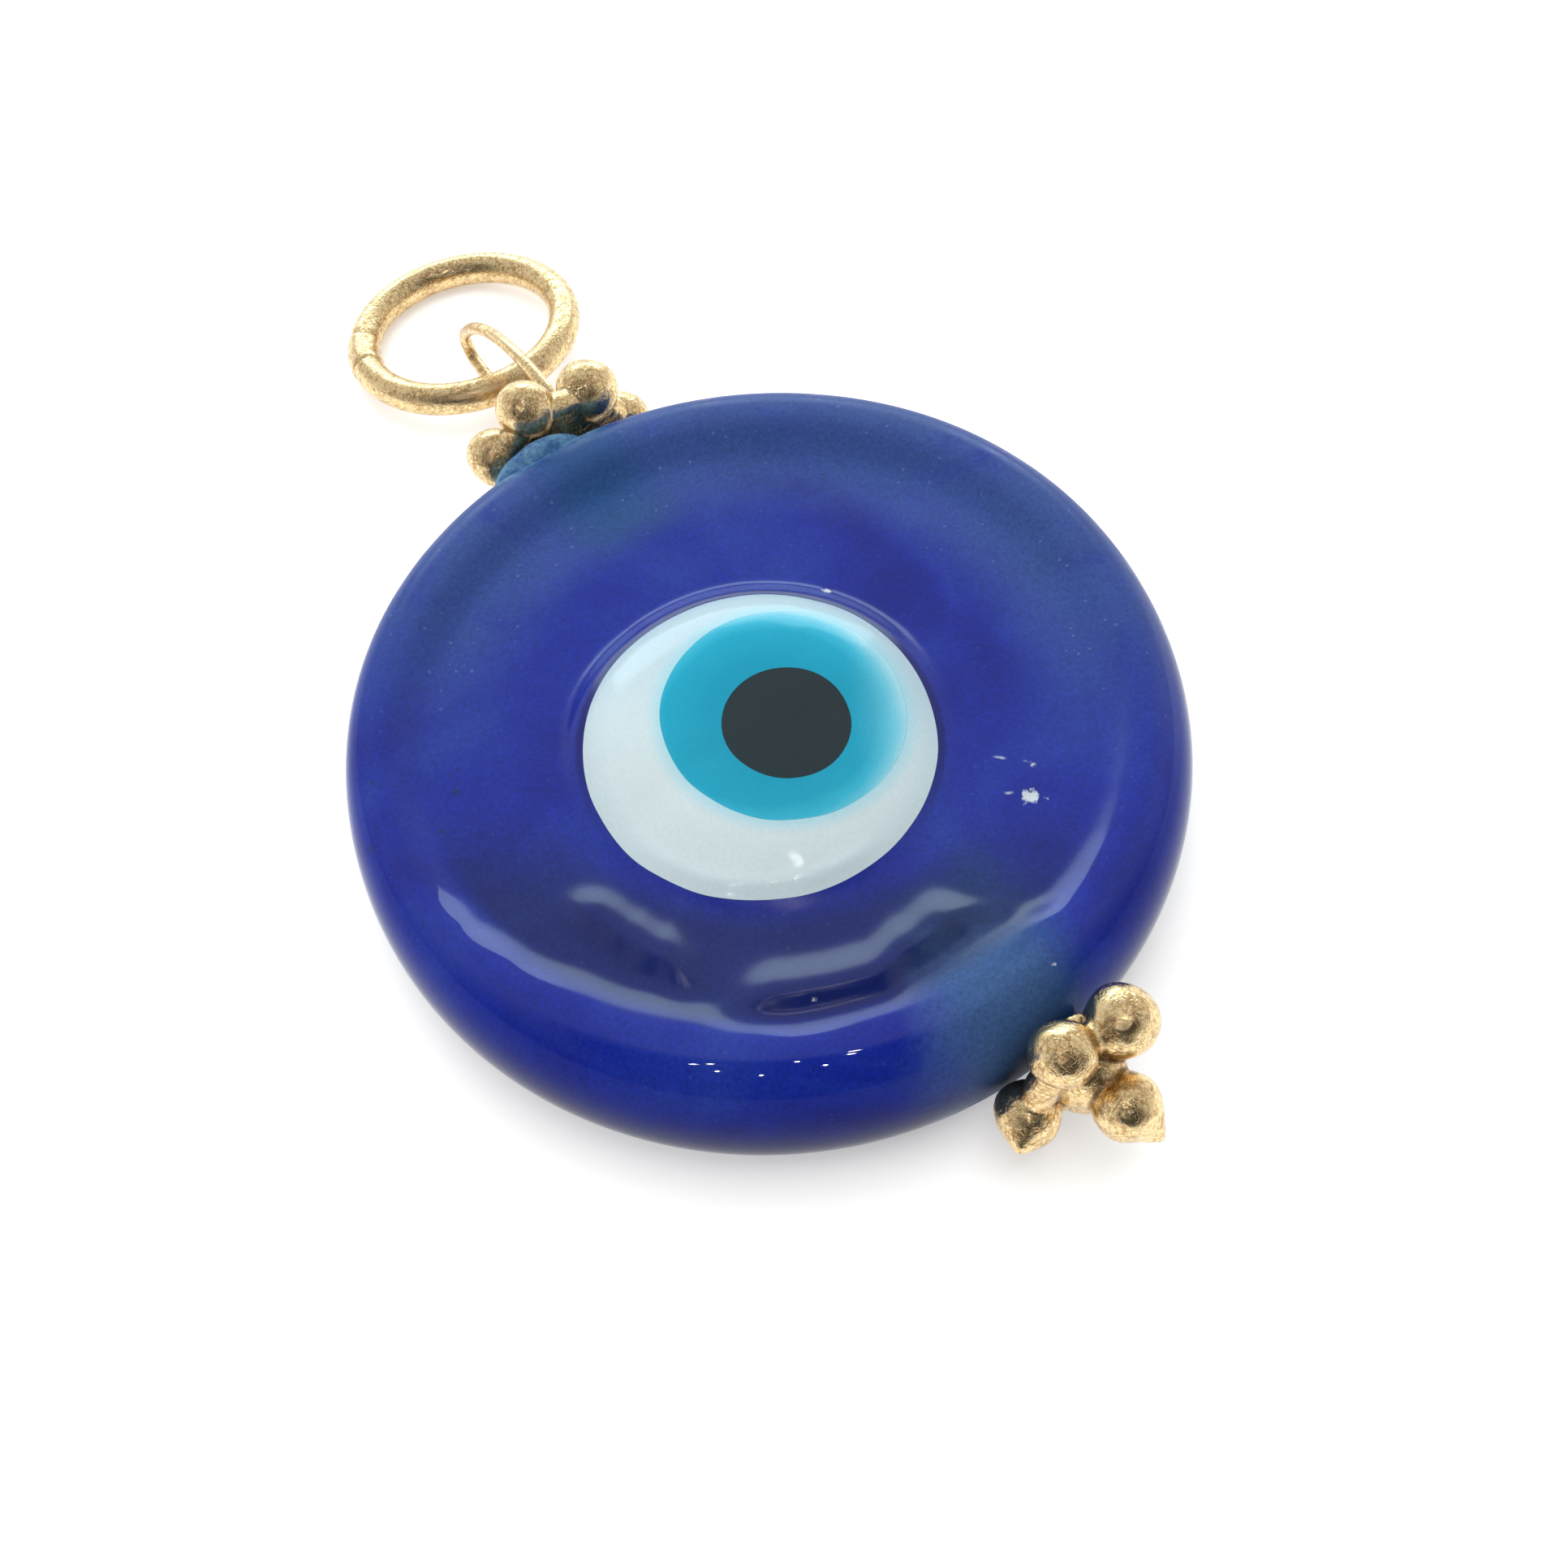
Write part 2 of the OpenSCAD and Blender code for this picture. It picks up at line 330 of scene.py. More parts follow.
cobaltZones = {
    # where a zone starts to show and where it is full: along the far way, by radius or by height
    "farWay": (0.59, 0.81),
    "filmReflectionFar": (-3.0, 6.0), "filmReflectionRadius": (6.8, 10.0), "filmReflectionCloud": (0.05, 0.55),
    "streakAt": (0.4, 0), "streakWander": 2.0, "streakSide": (3.6, 1.4), "streakRadius": (6.9, 8.6),
    "moatShadeFar": (-3.0, -7.0), "moatShadeInner": (6.4, 7.6), "moatShadeOuter": (10.7, 9.9),
    "rimShadeHeight": (4.7, 1.8),
    "stubAt": (-0.5, 12.6), "stubFar": (11.5, 12.0), "stubRadius": (2.8, 1.6), "stubHeight": (1.6, 3.4),
    "borderAt": 5.22, "borderWidth": (0.22, 0.08), "borderFar": (-5.0, -1.0),
    "hazeAt": (-0.5, -11.9), "hazeWander": 3.0, "hazeRadius": (4.7, 2.2),
    "dustFilm": (-0.2, 0.5), "pitsAt": (-10.4, 2.8), "pitsRadius": (2.6, 1.0),
    "softRadius": (10.9, 10.4), "skinRadius": (10.9, 9.9),
    "polishHeight": (4.0, 5.15), "polishHaze": (1.4, 0.0), "polishRadius": (12.2, 11.5),
    "polishFilm": (2.0, 0.0),
}


def cobaltGlass():
    look, zone = cobaltLook, cobaltZones
    material, tree, shader, place = newMaterial("cobaltLampworkGlass")
    height = addMath(tree, "DIVIDE", addNode(tree, "ShaderNodeSeparateXYZ", {}, {0: place}).outputs["Z"], mm)
    radius = flatDistance(tree, place, (0, 0))
    far = alongWay(tree, place, zone["farWay"])
    cloud = addNoise(tree, place, look["cloudSize"], 5.0, 0.6, 0.5)
    patches = addNoise(tree, place, look["patchSize"], 3.0, 0.5, 0.8)
    colour = addRamp(tree, patches, look["patches"]).outputs["Color"]

    # a worn film on the far side, rougher than the rest; its lighter blue is partly a painted reflection of
    # the bright room
    film = addProduct(tree, addFade(tree, far, *zone["filmReflectionFar"]), addFade(tree, radius, *zone["filmReflectionRadius"]),
                      addFade(tree, cloud, *zone["filmReflectionCloud"]))
    colour = mixColour(tree, film, colour, *look["film"])
    besideBore = addMath(tree, "ABSOLUTE", alongWay(tree, place, (1, 0), zone["streakAt"]))
    besideBore = addMath(tree, "MULTIPLY_ADD", cloud, zone["streakWander"], besideBore)
    streak = addProduct(tree, addFade(tree, besideBore, *zone["streakSide"]),
                        addFade(tree, radius, *zone["streakRadius"]))
    colour = mixColour(tree, streak, colour, *look["streak"])
    # painted shade: the moat and the inner slope of the raised ring are darkened on the near side
    hollow = addProduct(tree, addFade(tree, far, *zone["moatShadeFar"]),
                        addFade(tree, radius, *zone["moatShadeInner"]),
                        addFade(tree, radius, *zone["moatShadeOuter"]))
    colour = mixColour(tree, hollow, colour, *look["hollow"])
    # painted shade: the rim is darkened lower down
    colour = mixColour(tree, addFade(tree, height, *zone["rimShadeHeight"]), colour, *look["rim"])
    stub = addProduct(tree, addFade(tree, alongWay(tree, place, (0, 1)), *zone["stubFar"]),
                      addFade(tree, flatDistance(tree, place, zone["stubAt"]), *zone["stubRadius"]),
                      addFade(tree, height, *zone["stubHeight"]))
    mottled = addRamp(tree, addNoise(tree, place, look["stubSize"], 4.0, 0.7), look["stubPatches"])
    colour = mixColour(tree, stub, colour, mottled.outputs["Color"], look["stubShare"])
    border = addMath(tree, "SUBTRACT", flatDistance(tree, place, eye["whiteAt"]), zone["borderAt"])
    border = addProduct(tree, addFade(tree, addMath(tree, "ABSOLUTE", border), *zone["borderWidth"]),
                        addFade(tree, far, *zone["borderFar"]))
    colour = mixColour(tree, border, colour, *look["border"])
    haze = flatDistance(tree, place, zone["hazeAt"])
    haze = addFade(tree, addMath(tree, "MULTIPLY_ADD", cloud, zone["hazeWander"], haze), *zone["hazeRadius"])
    colour = mixColour(tree, haze, colour, *look["haze"])
    colour = addTone(tree, colour, place, *look["grain"])
    dust = addProduct(tree, addSpecks(tree, place, *look["dustCells"]),
                      addFade(tree, film, *zone["dustFilm"]))
    colour = mixColour(tree, dust, colour, *look["dust"])
    pits = addProduct(tree, addSpecks(tree, place, *look["pitCells"]),
                      addFade(tree, flatDistance(tree, place, zone["pitsAt"]), *zone["pitsRadius"]))
    colour = mixColour(tree, pits, colour, *look["pits"])
    marks = addMath(tree, "MAXIMUM", addChips(tree, place), addScratches(tree, place))
    colour = mixColour(tree, marks, colour, *look["marks"])
    tree.links.new(colour, shader.inputs["Base Color"])

    rough = addMath(tree, "MULTIPLY", cloud, look["cloudRough"])
    for mask, amount in ((addFade(tree, radius, *zone["softRadius"]), look["faceRough"]),
                         (addMath(tree, "MAXIMUM", film, stub), look["filmRough"]),
                         (haze, look["hazeRough"]), (marks, look["marksRough"])):
        rough = addMath(tree, "MULTIPLY_ADD", mask, amount, rough)
    tree.links.new(rough, shader.inputs["Roughness"])
    worn = addMath(tree, "MULTIPLY_ADD", addFade(tree, radius, *zone["skinRadius"]), look["skinOfWear"], film)
    skin = addMath(tree, "MULTIPLY", addNoise(tree, place, look["skinSize"]), worn)
    skin = addMath(tree, "MULTIPLY_ADD", pits, -look["pitDepth"], skin)
    addBump(tree, shader, skin, *look["bump"])
    # the worn rim gives back less of the room than the polished face
    polish = addProduct(tree, addFade(tree, height, *zone["polishHeight"]),
                        addFade(tree, haze, *zone["polishHaze"]),
                        addFade(tree, radius, *zone["polishRadius"]),
                        addFade(tree, film, *zone["polishFilm"]))
    tree.links.new(addMath(tree, "MULTIPLY_ADD", polish, look["polishGloss"], look["leastGloss"]),
                   shader.inputs["Specular IOR Level"])
    shader.inputs["IOR"].default_value = glassIndex
    return material


# opaque drops of the eye: soft soda glass laid on hot, so that one colour runs into the next

dropLooks = {
    # stops by distance from a centre, in shares of 8 mm, then the tint that comes in towards one side
    "white": {"name": "opaqueWhiteGlass", "stops": [(0.0, "#c6d5d7"), (0.57, "#c6d5d8"), (0.66, "#bccdd2")],
              "centre": eye["whiteAt"], "sideWay": (0.7, 0.71), "sideReach": (-2.0, 4.0),
              "sideTint": ("#9db8c7", 0.65), "haloTint": ("#93cbd8", 0.7)},
    "turquoise": {"name": "turquoiseGlass",
                  "stops": [(0.0, "#0f86a4"), (0.25, "#148fac"), (0.39, "#1a98b5"), (0.44, "#33a9c4"),
                            (0.475, "#62bacf"), (0.515, "#a9d0d9")],
                  "centre": (-0.45, -1.01), "sideWay": (0.87, -0.5), "sideReach": (2.2, 4.2),
                  "sideTint": ("#8ecbda", 0.4), "haloTint": None},
    "black": {"name": "blackGlass", "stops": [(0.0, "#222f34"), (1.0, "#28353b")],
              "centre": eye["pupilAt"], "sideWay": (0.87, -0.5), "sideReach": (0.0, 2.0),
              "sideTint": ("#242f34", 0.5), "haloTint": None},
}
dropSkin = {
    "stopReach": 8.0, "waver": 0.3, "waverSize": 1.6, "haloReach": (4.05, 3.5),
    "grain": (0.12, 0.92, 0.16),  # size, least tone and how far it rises
    "rough": [(0.3, 0.06), (0.7, 0.16)], "roughSize": 1.5, "bumpSize": 0.3, "bump": (0.1, 0.03),
    "gloss": 0.22,
}


def dropGlass(look):
    material, tree, shader, place = newMaterial(look["name"])
    away = addMath(tree, "MULTIPLY_ADD", addNoise(tree, place, dropSkin["waverSize"]), dropSkin["waver"],
                   flatDistance(tree, place, look["centre"]))
    away = addMath(tree, "DIVIDE", away, dropSkin["stopReach"])
    colour = addRamp(tree, away, look["stops"]).outputs["Color"]
    side = addFade(tree, alongWay(tree, place, look["sideWay"], look["centre"]), *look["sideReach"])
    colour = mixColour(tree, side, colour, *look["sideTint"])
    if look["haloTint"]:
        # the colour of the iris has run a little into the glass round it
        halo = addFade(tree, flatDistance(tree, place, eye["irisAt"]), *dropSkin["haloReach"])
        colour = mixColour(tree, halo, colour, *look["haloTint"])
    tree.links.new(addTone(tree, colour, place, *dropSkin["grain"]), shader.inputs["Base Color"])
    rough = addRamp(tree, addNoise(tree, place, dropSkin["roughSize"], 4.0), dropSkin["rough"])
    tree.links.new(rough.outputs["Color"], shader.inputs["Roughness"])
    addBump(tree, shader, addNoise(tree, place, dropSkin["bumpSize"]), *dropSkin["bump"])
    shader.inputs["Specular IOR Level"].default_value = dropSkin["gloss"]
    shader.inputs["IOR"].default_value = glassIndex
    return material


# gold alloy, fused and pickled: a warm pale metal whose fine grain breaks up its reflections; solder and
# grime lie brown in its creases

goldLook = {
    "tones": [(0.3, "#c39c64"), (0.45, "#eccd95"), (0.7, "#f6e3b9")],
    "rough": [(0.35, 0.26), (0.65, 0.14)], "dirtRough": 0.25,
    # tint and share of the net of cracks, of the dull patches and of the dirt
    "net": ("#936a3f", 0.5), "dull": ("#a57a4c", 0.5), "dirt": ("#6e4a2b", 0.8),
    # sizes in grains
    "netCell": 1.7, "netPatch": 5, "dullPatch": 2.5, "dirtPatch": 4,
    "netBend": 0.2, "bendSize": 0.2, "lineSize": 0.12,
    "netWidth": (0.12, 0.02), "netFade": (0.35, 0.55), "dullFade": (0.52, 0.66), "dirtFade": (0.33, 0.85),
    "dirtSpread": 0.5, "netDepth": 0.5, "lineDepth": 0.6, "bump": (0.45, 0.022),
}


def goldAlloy(name, grainSize, drawn):
    look = goldLook
    material, tree, shader, place = newMaterial(name)
    grain = addNoise(tree, place, grainSize, 4.0, 0.65)
    colour = addRamp(tree, grain, look["tones"]).outputs["Color"]

    # a net of fine cracks, and duller patches, left by the torch
    bend = addNode(tree, "ShaderNodeTexNoise", {"Scale": 1 / (look["bendSize"] * mm)}, {"Vector": place})
    bend = addNode(tree, "ShaderNodeVectorMath", {"operation": "MULTIPLY", 1: (look["netBend"] * mm,) * 3},
                   {0: bend.outputs["Color"]})
    bent = addNode(tree, "ShaderNodeVectorMath", {"operation": "ADD"}, {0: place, 1: bend.outputs["Vector"]})
    cells = addNode(tree, "ShaderNodeTexVoronoi",
                    {"feature": "DISTANCE_TO_EDGE", "Scale": 1 / (grainSize * look["netCell"] * mm)},
                    {"Vector": bent.outputs["Vector"]})
    netPatches = addNoise(tree, place, grainSize * look["netPatch"])
    net = addProduct(tree, addFade(tree, cells.outputs["Distance"], *look["netWidth"]),
                     addFade(tree, netPatches, *look["netFade"]))
    colour = mixColour(tree, net, colour, *look["net"])
    dull = addNoise(tree, place, grainSize * look["dullPatch"], 4.0, 0.6)
    dull = addFade(tree, dull, *look["dullFade"])
    colour = mixColour(tree, dull, colour, *look["dull"])
    crease = addNode(tree, "ShaderNodeAttribute", {"attribute_name": "crease"}).outputs["Fac"]
    dirt = addNoise(tree, place, grainSize * look["dirtPatch"])
    dirt = addMath(tree, "MULTIPLY_ADD", dirt, look["dirtSpread"], crease)
    dirt = addFade(tree, dirt, *look["dirtFade"])
    colour = mixColour(tree, dirt, colour, *look["dirt"])
    tree.links.new(colour, shader.inputs["Base Color"])

    rough = addRamp(tree, grain, look["rough"]).outputs["Color"]
    tree.links.new(addMath(tree, "MULTIPLY_ADD", dirt, look["dirtRough"], rough), shader.inputs["Roughness"])
    height = addMath(tree, "MULTIPLY_ADD", addMath(tree, "ADD", net, dull), -look["netDepth"], grain)
    if drawn:
        lines = addNode(tree, "ShaderNodeAttribute", {"attribute_name": "wirePlace"}).outputs["Vector"]
        lines = addNoise(tree, lines, look["lineSize"])
        height = addMath(tree, "MULTIPLY_ADD", lines, look["lineDepth"], height)
    addBump(tree, shader, height, *look["bump"])
    shader.inputs["Metallic"].default_value = 1.0
    return material


cobalt = cobaltGlass()
whiteGlass = dropGlass(dropLooks["white"])
turquoiseGlass = dropGlass(dropLooks["turquoise"])
blackGlass = dropGlass(dropLooks["black"])
granuleGold = goldAlloy("fusedGranuleGold", 0.11, False)
wireGold = goldAlloy("drawnWireGold", 0.1, True)
print("materials made")


# glass: one height function shapes the face of the body and of the drops in it, in mm and degrees

gob = {"radius": 6.3, "nearSteepness": 2.2, "farSteepness": 4.2, "foot": 0.25, "sunk": 0.4}
rise = {
    "width": 1.5, "height": 0.47, "far": 0.15,
    # angle round the disc and radius at which the face climbs to its raised ring
    "middles": [(-180, 10.9), (-174, 10.8), (-164, 10.5), (-150, 10.15), (-135, 10.0), (-127, 10.2),
                (-119, 10.35), (-106, 10.25), (-92, 10.15), (-82, 10.05), (-73, 10.45), (-50, 10.5),
                (0, 10.3), (100, 10.3), (180, 10.9)],
}
ridge = {"height": 0.07, "width": 1.3, "from": -9.4}
rippleSoft = 6
ripples = [
    # width, height, how much steeper it falls outwards, angle and radius of the crest along its run
    (1.0, 0.52, 2.1, [(-128, 9.5), (-121, 9.45), (-115, 9.4), (-106, 9.4), (-98, 9.0), (-87, 8.75)]),
    (0.85, 0.39, 1.5, [(-164, 8.3), (-157, 8.3), (-151, 8.4), (-144, 8.55), (-137, 8.9)]),
    (0.6, 0.17, 1.5, [(-87, 9.3), (-78, 9.5)]),
]
# height and size of the hand-made waves, and how far they die down outside a radius
uneven = {"height": 0.06, "size": 4.0, "fineHeight": 0.012, "calm": 0.9, "calmFrom": 10.0}
seam = {"groove": 0.05, "grooveWidth": 0.13, "lip": 0.03, "lipAt": 0.42, "lipWidth": 0.2, "least": 0.05}
shoulder = {"at": 4.72, "width": 0.2, "height": 0.035, "from": -165, "to": -85, "soft": 12}
waver = {"reach": 0.035, "size": 1.5, "outside": 6.4, "soft": 1.0}
topMark = 9.0  # stands for a height that faceHeight gives
bodyRings = {
    # rings lie close together beside the drops, and from a radius on they run round the disc's own middle
    "fineReach": 0.8, "fine": 14, "coarse": 52, "rim": 36, "settled": 9.0, "wallTop": 5.0, "round": 432,
}
dropRings = {"across": 24, "round": 216}


def span(angle, first, last, soft):  # 1 between two angles, easing off outside them
    return blend((angle - first + soft) / (2 * soft)) * blend((last + soft - angle) / (2 * soft))


def fullness(x, y):  # 0 to 1 towards the fuller side of the disc
    way = math.radians(disc["fullWay"])
    towards = (x * math.cos(way) + y * math.sin(way)) / max(math.hypot(x, y), 0.01)
    return blend((towards - disc["fullFrom"]) / disc["fullReach"])


def readAlong(table, angle):  # value of a table of angles and values, eased between its entries
    for (a, low), (b, high) in zip(table, table[1:]):
        if angle <= b:
            return low + (high - low) * blend((angle - a) / (b - a))
    return table[-1][1]


def faceHeight(x, y):
    r = math.hypot(x, y)
    angle = math.degrees(math.atan2(y, x))
    moatFloor = disc["thickness"] - disc["moatDepth"]
    start = readAlong(rise["middles"], angle) - rise["width"] / 2
    z = moatFloor + (rise["height"] + rise["far"] * fullness(x, y)) * blend((r - start) / rise["width"])

    gobX, gobY = x - eye["whiteAt"][0], y - eye["whiteAt"][1]
    fromGob = math.hypot(gobX, gobY)
    full = fullness(gobX, gobY)
    steepness = gob["nearSteepness"] + (gob["farSteepness"] - gob["nearSteepness"]) * full
    domeHeight = disc["moatDepth"] + disc["domeRise"] + gob["sunk"]
    dome = moatFloor - gob["sunk"] + domeHeight * (1 - (fromGob / gob["radius"]) ** steepness)
    z = softMax(z, dome, gob["foot"])

    z += ridge["height"] * math.exp(-((x - bore["x"]) / ridge["width"]) ** 2) * blend(ridge["from"] - y)
    for width, height, steeper, run in ripples:
        off = (r - readAlong(run, angle)) / width
        off *= steeper if off > 0 else 1
        z += height * span(angle, run[0][0], run[-1][0], rippleSoft) * math.exp(-off ** 2)
    waves = uneven["height"] * noise.noise(Vector((x / uneven["size"], y / uneven["size"], 3.1)))
    waves += uneven["fineHeight"] * noise.noise(Vector((x, y, 7.3)))
    z += waves * (1 - uneven["calm"] * blend(r - uneven["calmFrom"]))

    off = fromGob - eye["whiteRadius"]
    depth = seam["least"] + (1 - seam["least"]) * full
    z -= seam["groove"] * depth * math.exp(-(off / seam["grooveWidth"]) ** 2)
    z += seam["lip"] * depth * math.exp(-((off - seam["lipAt"]) / seam["lipWidth"]) ** 2)
    around = math.degrees(math.atan2(gobY, gobX))
    z += (shoulder["height"] * span(around, shoulder["from"], shoulder["to"], shoulder["soft"])
          * math.exp(-((fromGob - shoulder["at"]) / shoulder["width"]) ** 2))
    for centre, radius, depth in chips:
        z -= depth * math.exp(-(math.dist((x, y), centre) / radius) ** 2)
    return min(z, disc["faceTop"])


def wander(x, y):  # the hand-laid drops aren't quite round
    fromGob = math.hypot(x - eye["whiteAt"][0], y - eye["whiteAt"][1])
    share = waver["reach"] * blend((waver["outside"] - fromGob) / waver["soft"])
    return (x + share * noise.noise(Vector((x / waver["size"], y / waver["size"], 11.0))),
            y + share * noise.noise(Vector((x / waver["size"], y / waver["size"], 23.0))))


def spinSection(section, count):  # turns a section once round the upright axis
    bm = bmesh.new()
    verts = [bm.verts.new((r, 0, z)) for r, z in section]
    edges = [bm.edges.new(pair) for pair in zip(verts, verts[1:])]
    bmesh.ops.spin(bm, geom=verts + edges, cent=(0, 0, 0), axis=(0, 0, 1),
                   angle=2 * math.pi, steps=count, use_merge=True)
    return bm


def steps(a, b, count):  # from just after a to b
    return [a + (b - a) * (i + 1) / count for i in range(count)]


def shiftRings(bm, inner, innerRadius, outer, outerRadius):
    # rings slide from one middle to another as their radius grows
    for v in bm.verts:
        r = math.hypot(v.co.x, v.co.y)
        t = blend((r - innerRadius) / (outerRadius - innerRadius)) if outerRadius > innerRadius else 0
        v.co.x += inner[0] * (1 - t) + outer[0] * t
        v.co.y += inner[1] * (1 - t) + outer[1] * t


def addForm(bm, form):  # puts one form beside the others in a mesh
    joined = bpy.data.meshes.new("form")
    form.to_mesh(joined)
    form.free()
    bm.from_mesh(joined)


collar = {"x": -0.5, "z": 3.7, "radius": 1.95, "round": 0.6, "end": 12.75, "root": 11.0,
          "sinkFrom": 12.4, "sinkReach": 1.3, "sink": 0.7, "dents": (0.8, 0.05, 4.0)}


def makeCollar():
    # stub of glass drawn out beside the bore, under the cap
    inner = collar["radius"] - collar["round"]
    section = [(0, collar["end"])] + [(r, collar["end"]) for r in steps(0, inner, 4)]
    section += [(inner + collar["round"] * math.cos(a), collar["end"] + collar["round"] * (math.sin(a) - 1))
                for a in steps(math.pi / 2, 0, 10)]
    section += [(collar["radius"], y) for y in steps(collar["end"] - collar["round"], collar["root"], 8)]
    section += [(0, collar["root"])]
    bm = spinSection(section, 96)
    bmesh.ops.rotate(bm, verts=bm.verts, cent=(0, 0, 0), matrix=Matrix.Rotation(-math.pi / 2, 3, "X"))
    bmesh.ops.translate(bm, verts=bm.verts, vec=(collar["x"], 0, collar["z"]))
    roughen(bm, *collar["dents"])
    for v in bm.verts:
        v.co.y = min(v.co.y, collar["end"])
        # its root sinks under the rim
        v.co.z -= collar["sink"] * blend((collar["sinkFrom"] - v.co.y) / collar["sinkReach"])
    return bm


def makeGlassBody():
    crown = disc["radius"] - disc["edgeRound"]
    half = disc["thickness"] / 2
    edge = eye["whiteRadius"] + 2 * eye["sideGap"]
    floor = eye["whiteFloor"] - eye["floorGap"]
    section = [(0, floor)] + [(r, floor) for r in steps(0, edge, 4)]
    section += [(edge, (floor + bodyRings["wallTop"]) / 2), (edge, topMark)]
    fineTo = edge + bodyRings["fineReach"]
    section += [(r, topMark) for r in steps(edge, fineTo, bodyRings["fine"])]
    section += [(r, topMark) for r in steps(fineTo, crown, bodyRings["coarse"])]
    section += [(crown + disc["edgeRound"] * math.cos(a), half + half * math.sin(a))
                for a in steps(math.pi / 2, -math.pi / 2, bodyRings["rim"])]
    section += [(r, 0) for r in steps(crown, 0, 8)]
    bm = spinSection(section, bodyRings["round"])
    tops = [v for v in bm.verts if v.co.z > topMark - 0.5]
    rim = [v for v in bm.verts if math.hypot(v.co.x, v.co.y) > crown + 0.001]
    shiftRings(bm, eye["whiteAt"], edge, (0, 0), bodyRings["settled"])
    for v in bm.verts:
        v.co.x, v.co.y = wander(v.co.x, v.co.y)
    for v in tops:
        v.co.z = faceHeight(v.co.x, v.co.y)
    for v in rim:
        r = math.hypot(v.co.x, v.co.y)
        if v.co.z > half + 0.001:
            # the upper half swells where the disc is full, and its top follows the face
            full = 2 / (2 + disc["fullEdge"] * fullness(v.co.x, v.co.y))
            out, top = (r - crown) / disc["edgeRound"], (v.co.z - half) / half
            v.co.xy = v.co.xy * (crown + disc["edgeRound"] * max(out, 0) ** full) / r
            lift = (faceHeight(v.co.x, v.co.y) - disc["thickness"]) * top ** 2
            v.co.z = half + half * top ** full + lift
    addForm(bm, makeCollar())
    return finishPiece(bm, "glassBody", cobalt, ["glass_body"])


def makeDrop(name, material, node, middle, radius, floor, pocket=None):
    radius -= eye["sideGap"]
    section = [(0, floor)] + [(r, floor) for r in steps(0, radius, 3)] + [(radius, topMark)]
    if pocket:
        pocketAt, pocketRadius, pocketFloor = pocket
        pocketRadius += eye["sideGap"]
        pocketFloor -= eye["floorGap"]
        section += [(r, topMark) for r in steps(radius, pocketRadius, dropRings["across"])]
        section += [(pocketRadius * share, pocketFloor) for share in (1, 0.65, 0.325, 0)]
    else:
        section += [(r, topMark) for r in steps(radius, 0, dropRings["across"])]
    bm = spinSection(section, dropRings["round"])
    if pocket:
        shiftRings(bm, pocketAt, pocketRadius, middle, radius)
    else:
        bmesh.ops.translate(bm, vec=(middle[0], middle[1], 0), verts=bm.verts)
    for v in bm.verts:
        v.co.x, v.co.y = wander(v.co.x, v.co.y)
        if v.co.z > topMark - 0.5:
            v.co.z = faceHeight(v.co.x, v.co.y)
    return finishPiece(bm, name, material, [node])


makeGlassBody()
makeDrop("whiteDrop", whiteGlass, "eye_white", eye["whiteAt"], eye["whiteRadius"],
         eye["whiteFloor"], (eye["irisAt"], eye["irisRadius"], eye["irisFloor"]))
makeDrop("irisDrop", turquoiseGlass, "eye_iris", eye["irisAt"], eye["irisRadius"],
         eye["irisFloor"], (eye["pupilAt"], eye["pupilRadius"], eye["pupilFloor"]))
makeDrop("pupilDrop", blackGlass, "eye_pupil", eye["pupilAt"], eye["pupilRadius"],
         eye["pupilFloor"])


# granules: small balls of fused gold with solder drawn into the creases between them

granules = {"voxel": 0.06, "creaseRounds": 3, "creaseGain": 12}
cap = {
    "ball": 0.97, "ring": 2.42, "plate": 0.35, "plateFrom": 0.25, "plateRadius": 1.85, "hub": 1.2,
    # angle round the bore, reach in ring radii, size in balls
    "balls": [(161, 1.03, 0.98), (114, 1.00, 0.98), (50, 0.85, 1.06), (-12, 1.00, 1.03),
              (-75, 0.98, 1.00), (-137, 0.98, 1.00)],
    # solder joins balls whose middles lie no farther apart than its reach
    "solder": 0.46, "solderReach": 2.6, "solderSink": 0.3, "rounds": 2,
    "dents": [(0.9, 0.05, 2.0), (0.28, 0.012, 5.0)],
}
head = {
    "ball": 0.97, "ring": 1.8, "plate": 0.4, "plateRadius": 1.0, "core": 1.12,
    "balls": [(116, 1.01, 0.97), (50, 0.98, 1.06), (-80, 0.73, 1.02), (-145, 1.15, 0.99)],
    # end granule and the one beside it: way, length and tip of the point to which they are drawn out
    "endAt": (0.19, 2.63, 0.0), "endWay": (0.37, 1.15, -0.56), "endReach": 1.34, "endTip": 0.2,
    "sideBall": 0.95, "sideWay": (-0.87, 0.78, 0.03), "sideReach": 1.2, "sideTip": 0.28,
    "solder": 0.5, "joins": [(0, 1), (0, 3), (1, 2), (2, 3)], "rounds": 4,
    "dents": [(0.8, 0.06, 7.0), (0.28, 0.014, 9.0)],
}


def addBall(bm, at, radius):
    bmesh.ops.create_icosphere(bm, subdivisions=4, radius=radius, matrix=Matrix.Translation(at))


def addRod(bm, start, end, startRadius, endRadius, segments=24):
    start, end = Vector(start), Vector(end)
    way = end - start
    turned = way.to_track_quat("Z", "Y").to_matrix().to_4x4()
    bmesh.ops.create_cone(bm, cap_ends=True, segments=segments, radius1=startRadius, radius2=endRadius,
                          depth=way.length, matrix=Matrix.Translation((start + end) / 2) @ turned)


def ballPlaces(table):
    places = []
    for angle, reach, size in table["balls"]:
        a = math.radians(angle)
        places.append((Vector((table["ring"] * reach * math.cos(a), table["ball"] * size,
                               table["ring"] * reach * math.sin(a))), table["ball"] * size))
    return places


